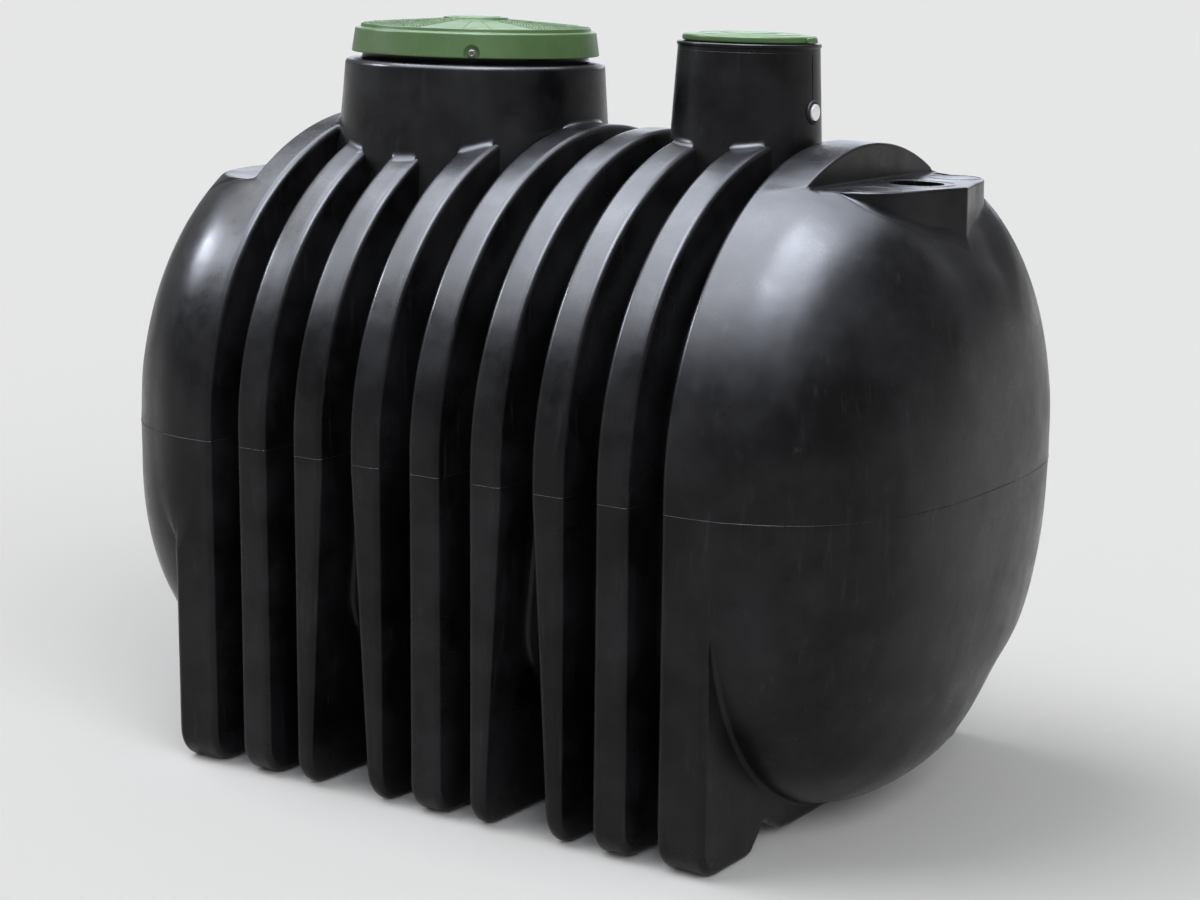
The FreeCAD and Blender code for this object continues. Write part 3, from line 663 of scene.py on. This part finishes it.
# Inlet shelf: a flat with a prow and a pipe hole, its walls sweeping out onto the dome.
HOLE = np.array([760.5, 0.0])
HOLE_RADIUS = 55.0
PROW = np.array([(666, -281.5), (804, -247), (871, 0), (804, 247), (666, 281.5)])


def shelf_points(count=640):
    turn = np.linspace(0, 2 * math.pi, count, endpoint=False)
    out = np.stack([np.cos(turn), np.sin(turn)], 1)
    reach = np.full(count, 1e9)
    for a, b in zip(PROW, np.roll(PROW, -1, 0)):
        edge = b - a
        normal = np.array([edge[1], -edge[0]]) / np.linalg.norm(edge)
        toward = out @ normal
        distance = (a - HOLE) @ normal / np.where(toward > 1e-6, toward, 1e-6)
        reach = np.minimum(reach, np.where(toward > 1e-6, distance, 1e9))
    # The prow's point stays sharp, and its two shoulders are rounded widely.
    smooth = []
    looped = np.concatenate([reach[-40:], reach, reach[:40]])
    for spread in (2.2, 13.0):
        kernel = np.exp(-0.5 * (np.arange(-40, 41) / spread) ** 2)
        smooth.append(np.convolve(looped, kernel / kernel.sum(), mode="valid"))
    wide = step(1 - out[:, 0], 0.2, 0.5) * step(out[:, 0], -0.25, -0.05)
    reach = smooth[0] + (smooth[1] - smooth[0]) * wide
    ragged = HOLE_RADIUS + 0.9 * np.sin(7 * turn + 1)
    ragged = ragged + 0.7 * np.sin(17 * turn) + 0.5 * np.sin(31 * turn + 2)
    rim = HOLE + out * reach[:, None]
    ahead = np.roll(rim, -1, 0) - np.roll(rim, 1, 0)
    normal = np.stack([ahead[:, 1], -ahead[:, 0]], 1)
    normal /= np.linalg.norm(normal, axis=1)[:, None]
    ground = dome_height(rim[:, 0], rim[:, 1])
    drop = 1 - step(ground, SHELF_TOP - 16, SHELF_TOP - 3)
    sink = 3.0 * (1 - drop)
    rows = []
    edge = SHELF_ROUND
    for share in np.linspace(0, 1, 14) ** 0.8:
        distance = ragged + (reach - edge * 1.1 - ragged) * share
        height = SHELF_TOP - sink * step(share, 0.75, 1)
        rows.append(np.column_stack([HOLE + out * distance[:, None], height]))
    for a in quarter_turn(5)[1:]:
        place = rim - normal * edge * (1 - math.sin(a))
        rows.append(np.column_stack([place, SHELF_TOP - sink - edge * (1 - math.cos(a)) * drop]))
    under = SHELF_TOP - sink - edge * drop
    low = np.minimum(ground, under - 1)
    sweep = np.clip((under - low) * 0.5, 1, 11)
    upper = np.minimum(low + sweep, under - 0.5)
    lean = 0.03 * normal * (under - upper)[:, None]
    for share in (0.35, 0.7, 1):
        rows.append(np.column_stack([rim + lean * share, under + (upper - under) * share]))
    foot = rim + lean + normal * sweep[:, None]
    touch = np.minimum(dome_height(foot[:, 0], foot[:, 1]) + 0.3, low)
    a = np.column_stack([rim + lean, upper])
    b = np.column_stack([rim + lean, low])
    c = np.column_stack([foot, touch])
    for t in np.linspace(0, 1, 7)[1:]:
        rows.append(a * (1 - t) ** 2 + b * 2 * t * (1 - t) + c * t**2)
    return np.array(rows), rim


shelf, shelf_rim = shelf_points()
flat = shelf.reshape(-1, 3)
faces = quads(*shelf.shape[:2])
wall_piece("inlet_shelf", flat, faces, normals_of(flat, faces), WALL, "black_shell", "inlet_shelf")

# Skin pieces, open where the necks and the shelf stand.
flat = SKIN.reshape(-1, 3)
loop = SKIN.shape[1]
skin_faces = quads(SKIN.shape[0], loop)
skin_normals = normals_of(flat, skin_faces)
tips = [0, SKIN.shape[0] - 1]
for tip, sign in zip(tips, (-1, 1)):
    skin_normals[tip * loop:(tip + 1) * loop] = (sign, 0, 0)


def inside_shelf(points):
    turn = np.arctan2(points[:, 1] - HOLE[1], points[:, 0] - HOLE[0]) % (2 * math.pi)
    known = np.arctan2(shelf_rim[:, 1] - HOLE[1], shelf_rim[:, 0] - HOLE[0]) % (2 * math.pi)
    reach = np.linalg.norm(shelf_rim - HOLE, axis=1)
    order = np.argsort(known)
    limit = np.interp(turn, known[order], reach[order], period=2 * math.pi)
    distance = np.hypot(points[:, 0] - HOLE[0], points[:, 1] - HOLE[1])
    return (distance < limit - 6) & (points[:, 0] > RING_OUT + 2) & (points[:, 2] > NECK_LOW)


hidden = MANHOLE_NECK.holds(flat) | FILTER_NECK.holds(flat) | inside_shelf(flat)
shown = ~hidden[skin_faces].all(1)
column = skin_faces[:, 0] // loop
weld = np.arange(len(flat))
for tip in tips:
    weld[tip * loop:(tip + 1) * loop] = tip * loop
welded = weld[skin_faces]
for name, (first, last) in spans.items():
    keep = shown & (column >= first) & (column < last)
    nodes = (name, "rear_shelf") if name == "left_end_dome" else (name,)
    wall_piece(name, flat, welded[keep], skin_normals, WALL, "black_shell", *nodes)


# Turned pieces: a closed outline of corners, each with its own rounding, spun round an axis.
def softened(corners):
    found = []
    spots = np.array([c[:2] for c in corners], float)
    for index, (across, up, soft) in enumerate(corners):
        if not soft:
            found.append((across, up))
            continue
        before, here, after = spots[index - 1], spots[index], spots[index + 1]
        start = here + (before - here) * min(soft / np.linalg.norm(before - here), 0.45)
        stop = here + (after - here) * min(soft / np.linalg.norm(after - here), 0.45)
        for t in np.linspace(0, 1, 5):
            found.append(tuple(start * (1 - t) ** 2 + here * 2 * t * (1 - t) + stop * t**2))
    return np.array(found)


def finer(points, corner, count):
    """Adds points on the straight run that follows the given corner."""
    index = int(np.argmin(np.hypot(points[:, 0] - corner[0], points[:, 1] - corner[1])))
    extra = np.linspace(points[index], points[index + 1], count + 2)[1:-1]
    return np.concatenate([points[:index + 1], extra, points[index + 1:]])


def turned(outline_points, turns, ring=False):
    """Points and faces of a turned solid; its outline starts and ends on the axis, or is a ring."""
    rows, count = len(outline_points), len(turns)
    spin = np.stack([np.cos(turns), np.sin(turns)], 1)
    flat = np.concatenate([
        np.column_stack([spin * across, np.full(count, up)]) for across, up in outline_points
    ])
    if ring:
        return flat, quads(rows + 1, count) % (rows * count)
    faces = quads(rows, count)
    faces = np.where(faces < count, 0, faces)
    faces = np.where(faces >= (rows - 1) * count, (rows - 1) * count, faces)
    return flat, faces


def solid_piece(name, parts, slot_name, *nodes):
    """One mesh from several closed parts, each with its points and faces."""
    verts, polygons, corner_normals = [], [], []
    for points, faces in parts:
        start = len(verts)
        rings = [list(dict.fromkeys(int(v) for v in face)) for face in faces]
        rings = [r for r in rings if len(r) > 2]
        normals = np.zeros_like(points)
        for ring in rings:
            spots = points[ring]
            area = np.cross(spots[2] - spots[0], spots[-1] - spots[1 if len(ring) > 3 else 0])
            for v in ring:
                normals[v] += area
        normals /= np.maximum(np.linalg.norm(normals, axis=1), 1e-9)[:, None]
        used = sorted({v for ring in rings for v in ring})
        number = {v: start + k for k, v in enumerate(used)}
        verts.extend(points[used].tolist())
        for ring in rings:
            polygons.append([number[v] for v in ring])
            corner_normals.extend(normals[v].tolist() for v in ring)
    return piece(name, verts, polygons, slot_name, nodes, corner_normals)


def block(corners, up):
    """A closed prism-like stud: the lower loop of corners, then the smaller upper loop."""
    low, high = np.array(corners), np.array(up)
    count = len(low)
    faces = [[i, (i + 1) % count, count + (i + 1) % count, count + i] for i in range(count)]
    faces.append(list(range(count, 2 * count)))
    faces.append(list(range(count))[::-1])
    return np.concatenate([low, high]), faces


# Manhole lid: a flat cone round a hub, with studs, plain sectors and dents for the screws.
LID_TURN = -57.0
LID_MARK = -55.0
SECTOR = 30.0
STUD_PITCH = 8.2
SCREW_COUNT = 3
SCREW_HEIGHT = 1543.0
SKIRT = 271.0
CONE_IN = (72, 1607.4)
CONE_OUT = (252.4, 1594.2)
lid_line = softened([
    (0, 1614, 0), (54, 1614, 1.6), (56, 1612.2, 1), (70.6, 1612, 1.6), (*CONE_IN, 1.2),
    (*CONE_OUT, 2), (254, 1586, 1.6), (265.4, 1585, 3.2), (272.9, 1534.6, 1.6),
    (271.5, 1533, 1), (268, 1533, 1), (258, 1578, 2), (200, 1586, 2), (72, 1600, 2), (0, 1600, 0),
])
lid_line = finer(lid_line, (265.9, 1581.8), 30)
lid_turns = [np.linspace(0, 360, 180, endpoint=False)]
lid_turns += [LID_TURN + 120 * k + np.linspace(-6.5, 6.5, 53) for k in range(SCREW_COUNT)]
lid_turns = np.unique(np.round(np.concatenate(lid_turns) % 360, 3))
lid_points, lid_faces = turned(lid_line, np.radians(lid_turns))
angle = np.degrees(np.arctan2(lid_points[:, 1], lid_points[:, 0]))
aside = (angle - LID_TURN + 60) % 120 - 60
distance = np.hypot(np.radians(aside) * SKIRT, lid_points[:, 2] - SCREW_HEIGHT)
radius = np.hypot(lid_points[:, 0], lid_points[:, 1])
skirt = (radius > 262) & (lid_points[:, 2] < 1575)
dent = np.where(skirt, 8.0 * (1 - step(distance, 11.5, 18.5)), 0)
lid_points[:, :2] *= (1 - dent / np.maximum(radius, 1))[:, None]


def lid_height(across):
    part = (across - CONE_IN[0]) / (CONE_OUT[0] - CONE_IN[0])
    return CONE_IN[1] + (CONE_OUT[1] - CONE_IN[1]) * part


lid_parts = [(lid_points, lid_faces)]
for across in np.arange(82, 247, STUD_PITCH):
    steps = max(int(round(2 * math.pi * across / STUD_PITCH)), 12)
    for index in range(steps):
        turn = 360 * (index + 0.5 * (int(across) % 2)) / steps
        if abs((turn - LID_MARK + 60) % 120 - 60) < SECTOR + 60 / across:
            continue
        bearing = math.radians(turn)
        middle = np.array([across * math.cos(bearing), across * math.sin(bearing)])
        six = np.radians(np.arange(0, 360, 60) + turn)
        ring = np.stack([np.cos(six), np.sin(six)], 1)
        low = np.column_stack([middle + ring * 2.7, np.full(6, lid_height(across) - 0.6)])
        high = np.column_stack([middle + ring * 1.5, np.full(6, lid_height(across) + 1.2)])
        lid_parts.append(block(low, high))
for sector in range(SCREW_COUNT):
    for turn in (-SECTOR, -7, 7, SECTOR):
        bearing = math.radians(LID_MARK + 120 * sector + turn)
        ray = np.array([math.cos(bearing), math.sin(bearing)])
        side = np.array([-ray[1], ray[0]])
        low, high = [], []
        for across, sign in ((78, -1), (248, -1), (248, 1), (78, 1)):
            low.append((*(ray * across + side * sign * 2.2), lid_height(across) - 0.5))
            high.append((*(ray * across + side * sign * 0.9), lid_height(across) + 1.0))
        lid_parts.append(block(low, high))
for points, _ in lid_parts:
    points[:, 0] += MANHOLE
solid_piece("manhole_lid", lid_parts, "green_lid", "manhole_lid")

# Filter lid: a low cap with two rings and a grip at its edge.
small_line = softened([
    (0, 1608.3, 0), (58, 1605.4, 1), (59.5, 1606.2, 0.5), (62, 1606.1, 0.5), (63.5, 1605.1, 1),
    (104, 1603.2, 1), (105.5, 1604, 0.5), (108, 1603.9, 0.5), (109.5, 1602.9, 1),
    (139, 1601.2, 4.5), (139, 1590.2, 2), (136.5, 1588.6, 1), (128, 1588.4, 1), (127, 1586.7, 0.5),
    (123, 1586.4, 0.5), (123, 1561.5, 1.5), (118, 1561.5, 1.5), (117.5, 1590, 2), (0, 1594, 0),
])
small_points, small_faces = turned(small_line, np.radians(np.linspace(0, 360, 240, endpoint=False)))
small_parts = [(small_points, small_faces)]
grip = np.radians(np.linspace(-5, 15, 11))
low = [(137 * math.cos(t), 137 * math.sin(t), 1588.8) for t in grip[::-1]]
low += [(145 * math.cos(t), 145 * math.sin(t), 1588.8) for t in grip]
high = [(137 * math.cos(t), 137 * math.sin(t), 1600.6) for t in grip[::-1]]
high += [(143.4 * math.cos(t), 143.4 * math.sin(t), 1598.2) for t in grip]
small_parts.append(block(low, high))
for points, _ in small_parts:
    points[:, 0] += FILTER
solid_piece("filter_lid", small_parts, "green_lid", "filter_lid")

# Screws in the lid's skirt: round heads with a socket.
screw_line = softened([
    (0, 3.2, 0), (3.4, 3.2, 0.4), (3.6, 5.8, 0.4), (7.2, 6, 1.4), (8, 4.4, 1), (8, 0, 0.5),
    (4, -0.2, 0.4), (4, -16, 0.6), (0, -16, 0),
])
SCREW_REACH = 265.0
screw_parts = []
for index in range(SCREW_COUNT):
    bearing = math.radians(LID_TURN + 120 * index)
    points, faces = turned(screw_line, np.linspace(0, 2 * math.pi, 36, endpoint=False))
    ray = np.array([math.cos(bearing), math.sin(bearing), 0])
    side = np.array([-ray[1], ray[0], 0])
    axes = np.stack([side, np.array([0, 0, 1.0]), ray])
    place = ray * SCREW_REACH + np.array([MANHOLE, 0, SCREW_HEIGHT])
    screw_parts.append((points @ axes + place, faces))
solid_piece("lid_screws", screw_parts, "screw_steel", "lid_screws")

# Side port of the filter neck: a rubber grommet and the plug in it.
PORT = np.array([FILTER + 152.5, 0, PORT_HEIGHT])
TO_PORT = np.array([[0, 1.0, 0], [0, 0, 1.0], [1.0, 0, 0]])


def port_part(corners, ring=False):
    turns = np.linspace(0, 2 * math.pi, 72, endpoint=False)
    points, faces = turned(softened(corners), turns, ring)
    return points @ TO_PORT + PORT, faces


grommet = port_part([
    (17.6, -8, 0), (17.6, 4.5, 0.6), (18.4, 6, 1), (21.5, 6, 1.6), (25, 4, 2.6), (25, 0, 1),
    (20.5, -0.2, 0.4), (20.5, -16, 0.6), (17.6, -16, 0),
], ring=True)
solid_piece("port_grommet", [grommet], "black_rubber", "port_grommet")
plug = port_part([
    (0, 8.6, 0), (12, 8.8, 2), (14, 9.9, 1.2), (17.3, 9.6, 1.8), (17.3, -15.8, 1), (0, -15.8, 0),
])
solid_piece("port_plug", [plug], "white_plug", "port_plug")


# Mould lines: the flash round the parting, the seam of the filter neck and rings on the shelf.
def ridge(stations, outward, along, height, half):
    """A closed low ridge round a loop of stations, standing up along its outward directions."""
    height = np.broadcast_to(np.asarray(height, float), len(stations))[:, None]
    rows = [
        stations - along * half - outward * 0.6,
        stations + outward * height - along * half * 0.25,
        stations + outward * height + along * half * 0.25,
        stations + along * half - outward * 0.6,
    ]
    count = len(stations)
    return np.concatenate(rows), quads(5, count) % (4 * count)


shore = []
for line in near:
    below = line[:, 2] < PARTING
    if below[0] or not below.any():
        continue
    k = int(below.argmax())
    part = (line[k - 1, 2] - PARTING) / (line[k - 1, 2] - line[k, 2])
    shore.append(line[k - 1] + (line[k] - line[k - 1]) * part)
shore = np.array(shore)
shore = shore[np.concatenate([[True], np.linalg.norm(np.diff(shore, axis=0), axis=1) > 0.8])]
shore = np.concatenate([shore, shore[::-1] * np.array([1, -1, 1])])
ahead = np.roll(shore, -1, 0) - np.roll(shore, 1, 0)
outward = np.column_stack([-ahead[:, 1], ahead[:, 0], np.zeros(len(shore))])
outward /= np.maximum(np.linalg.norm(outward, axis=1), 1e-9)[:, None]
walked = np.cumsum(np.linalg.norm(ahead, axis=1)) / 2
rough = 0.8 + 0.4 * np.sin(walked * 0.021) + 0.25 * np.sin(walked * 0.083 + 1)
rough = rough + 0.2 * np.sin(walked * 0.31)
up = np.array([0, 0, 1.0])
mould_parts = [ridge(shore, outward, up, np.clip(rough, 0.25, 1.5), 1.1)]
RING_STEPS = 160
around = np.radians(np.linspace(0, 360, RING_STEPS, endpoint=False))
spin = np.stack([np.cos(around), np.sin(around), np.zeros(RING_STEPS)], 1)
lip_height = 1569.0
lip = np.array([FILTER, 0, lip_height]) + spin * FILTER_NECK.side(lip_height)
mould_parts.append(ridge(lip[::-1], spin[::-1], up, 0.5, 1.0))
for centre, size in ((HOLE, 75), ((757, -187), 54), ((757, 187), 54)):
    ring = np.array([*centre, SHELF_TOP]) + spin * size
    mould_parts.append(ridge(ring, np.tile(up, (RING_STEPS, 1)), spin, 0.7, 1.6))
seam_top, seam_low = 1566.0, 1474.0
low, high = [], []
for height, side in ((seam_low, -1), (seam_top, -1), (seam_top, 1), (seam_low, 1)):
    face = FILTER + FILTER_NECK.side(height)
    low.append((face - 0.8, side * 1.3, height))
    high.append((face + 1.0, side * 0.5, height))
mould_parts.append(block(low[::-1], high[::-1]))
solid_piece("mould_lines", mould_parts, "black_shell")

# Floor, world, lamps and camera.
FLOOR = 300
corners = [(-FLOOR, -FLOOR, 0), (FLOOR, -FLOOR, 0), (FLOOR, FLOOR, 0), (-FLOOR, FLOOR, 0)]
floor_mesh = bpy.data.meshes.new("floor")
floor_mesh.from_pydata(corners, [], [(0, 1, 2, 3)])
floor = bpy.data.objects.new("floor", floor_mesh)
bpy.context.scene.collection.objects.link(floor)
floor_material, nodes, links = shader("pale_floor")
bsdf = nodes["Principled BSDF"]
bsdf.inputs["Roughness"].default_value = 0.9
bsdf.inputs["Specular IOR Level"].default_value = 0.0
tone = nodes.new("ShaderNodeTexNoise")
tone.inputs["Scale"].default_value = 2.0
shade = nodes.new("ShaderNodeValToRGB")
shade.color_ramp.elements[0].color = (0.70, 0.70, 0.70, 1)
shade.color_ramp.elements[1].color = (0.73, 0.73, 0.73, 1)
links.new(tone.outputs["Fac"], shade.inputs["Fac"])
links.new(shade.outputs["Color"], bsdf.inputs["Base Color"])
floor.data.materials.append(floor_material)

world = bpy.data.worlds.new("studio")
bpy.context.scene.world = world
world.use_nodes = True
background = world.node_tree.nodes["Background"]
background.inputs["Color"].default_value = (0.97, 0.98, 1.0, 1)
background.inputs["Strength"].default_value = 0.35


def aim(made, place, target):
    bpy.context.scene.collection.objects.link(made)
    made.location = place
    made.rotation_euler = (Vector(target) - Vector(place)).to_track_quat("-Z", "Y").to_euler()


def panel(name, place, target, width, height, power):
    data = bpy.data.lights.new(name, "AREA")
    data.shape = "RECTANGLE"
    data.size = width
    data.size_y = height
    data.energy = power
    data.color = (0.82, 0.87, 1.0)
    made = bpy.data.objects.new(name, data)
    aim(made, place, target)
    return made


def sun(name, place, power):
    data = bpy.data.lights.new(name, "SUN")
    data.energy = power
    data.angle = math.radians(50)
    made = bpy.data.objects.new(name, data)
    aim(made, place, (0, 0, 0))
    return made


# Key and fill light the surfaces, and the fill is left out of reflections. The panels are seen
# in reflections only, as the bright sky that the black plastic mirrors.
sun("key", (-3.0, -1.2, 5.0), 1.85)
sun("fill", (3.2, -2.2, 2.4), 1.6).visible_glossy = False
for made in (
    panel("sheen_panel", (-0.45, -1.8, 6.5), (-0.45, -1.8, 0), 8.1, 5.4, 2550),
    panel("rear_panel", (-0.6, 2.4, 6.5), (-0.6, 2.4, 0), 8.4, 3.0, 800),
    panel("front_panel", (-0.9, -5.7, 6.5), (-0.9, -5.7, 0), 8.8, 2.4, 600),
    panel("top_panel", (1.1, -1.8, 6.2), (1.1, -1.8, 0), 2.2, 3.2, 800),
    panel("left_panel", (-4.0, -1.7, 3.5), (-0.7, -0.5, 1.1), 0.8, 0.8, 230),
    panel("back_panel", (-2.6, 5.5, 2.6), (-0.4, 0, 1.2), 6.0, 1.5, 75),
):
    made.visible_diffuse = False
    made.visible_camera = False

# The camera as fitted to the photograph.
AZIMUTH, PITCH_DOWN, ROLL = np.radians([31.864, 11.195, 1.491])
CAMERA_PLACE = (2.9635, -4.7244, 1.7836)
PHOTO_WIDTH = 1200
FOCAL_PIXELS = 2573.479
SENSOR = 36.0
forward = np.array([
    -math.sin(AZIMUTH) * math.cos(PITCH_DOWN),
    math.cos(AZIMUTH) * math.cos(PITCH_DOWN),
    -math.sin(PITCH_DOWN),
])
level = np.array([math.cos(AZIMUTH), math.sin(AZIMUTH), 0.0])
upright = np.cross(level, forward)
right_hand = math.cos(ROLL) * level + math.sin(ROLL) * upright
upward = -math.sin(ROLL) * level + math.cos(ROLL) * upright
data = bpy.data.cameras.new("camera")
data.sensor_fit = "HORIZONTAL"
data.sensor_width = SENSOR
data.lens = FOCAL_PIXELS / PHOTO_WIDTH * SENSOR
data.clip_end = 600
camera = bpy.data.objects.new("camera", data)
bpy.context.scene.collection.objects.link(camera)
matrix = np.eye(4)
matrix[:3, 0] = right_hand
matrix[:3, 1] = upward
matrix[:3, 2] = -forward
matrix[:3, 3] = CAMERA_PLACE
camera.matrix_world = Matrix(matrix.tolist())
bpy.context.scene.camera = camera
bpy.context.scene.view_settings.view_transform = "Standard"
